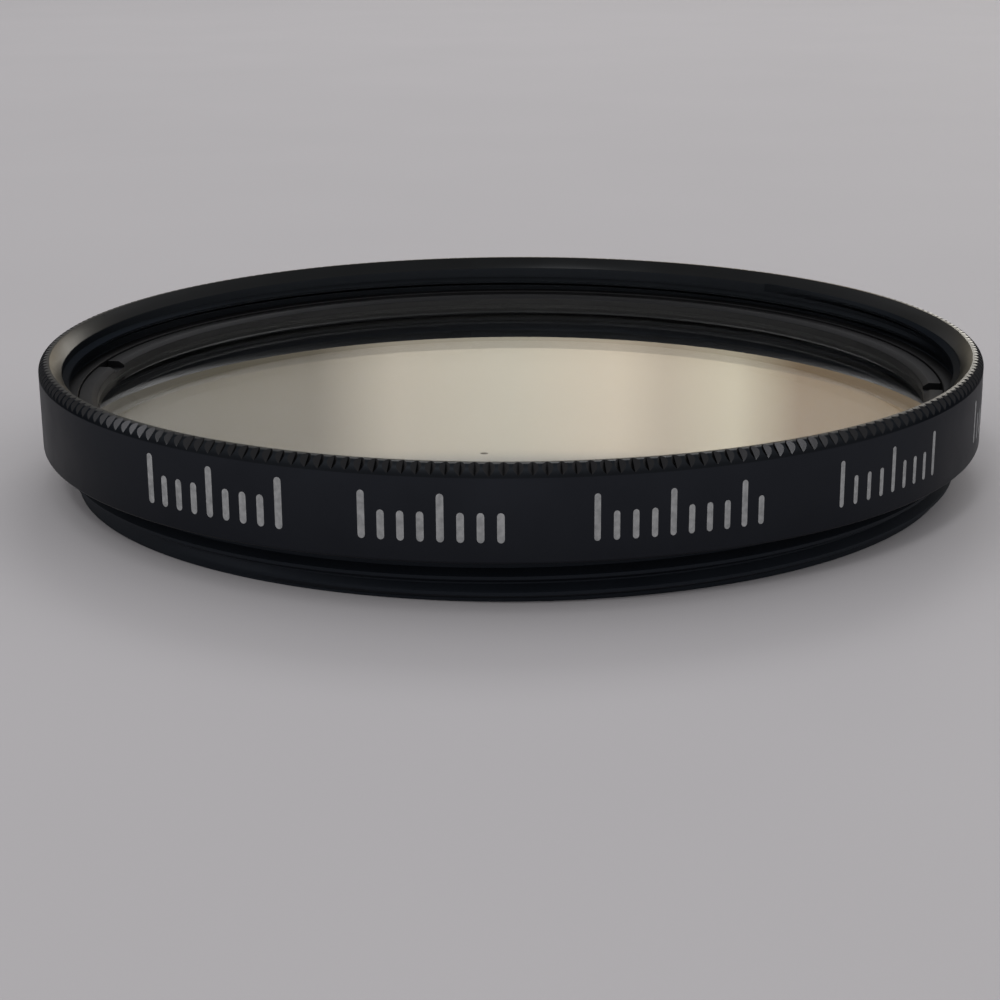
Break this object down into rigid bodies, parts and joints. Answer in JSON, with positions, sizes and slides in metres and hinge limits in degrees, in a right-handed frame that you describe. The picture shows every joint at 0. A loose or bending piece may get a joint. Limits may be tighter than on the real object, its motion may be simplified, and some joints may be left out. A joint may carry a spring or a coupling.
{
  "type": "uv filter",
  "caption": "Round screw-in lens filter: coated clear glass held in a thin black ring with a notched front rim and a filter thread on both sides.",
  "frame": {"origin": "centre of the rear thread's end face, on the optical axis", "axes": "+Z along the optical axis, out of the front of the filter; +X to the right as the marks are read from -Y"},
  "size_m": [0.0506, 0.0506, 0.0068],
  "materials": {
    "black_ring": "satin black anodised aluminium, fine-turned, with pale grey paint in the marks",
    "coated_glass": "clear polished glass with an anti-reflection coating",
    "black_retainer": "matt black anodised aluminium"
  },
  "bodies": {
    "root": {"filter_ring": "black_ring", "filter_glass": "coated_glass", "retaining_ring": "black_retainer"}
  },
  "joints": []
}
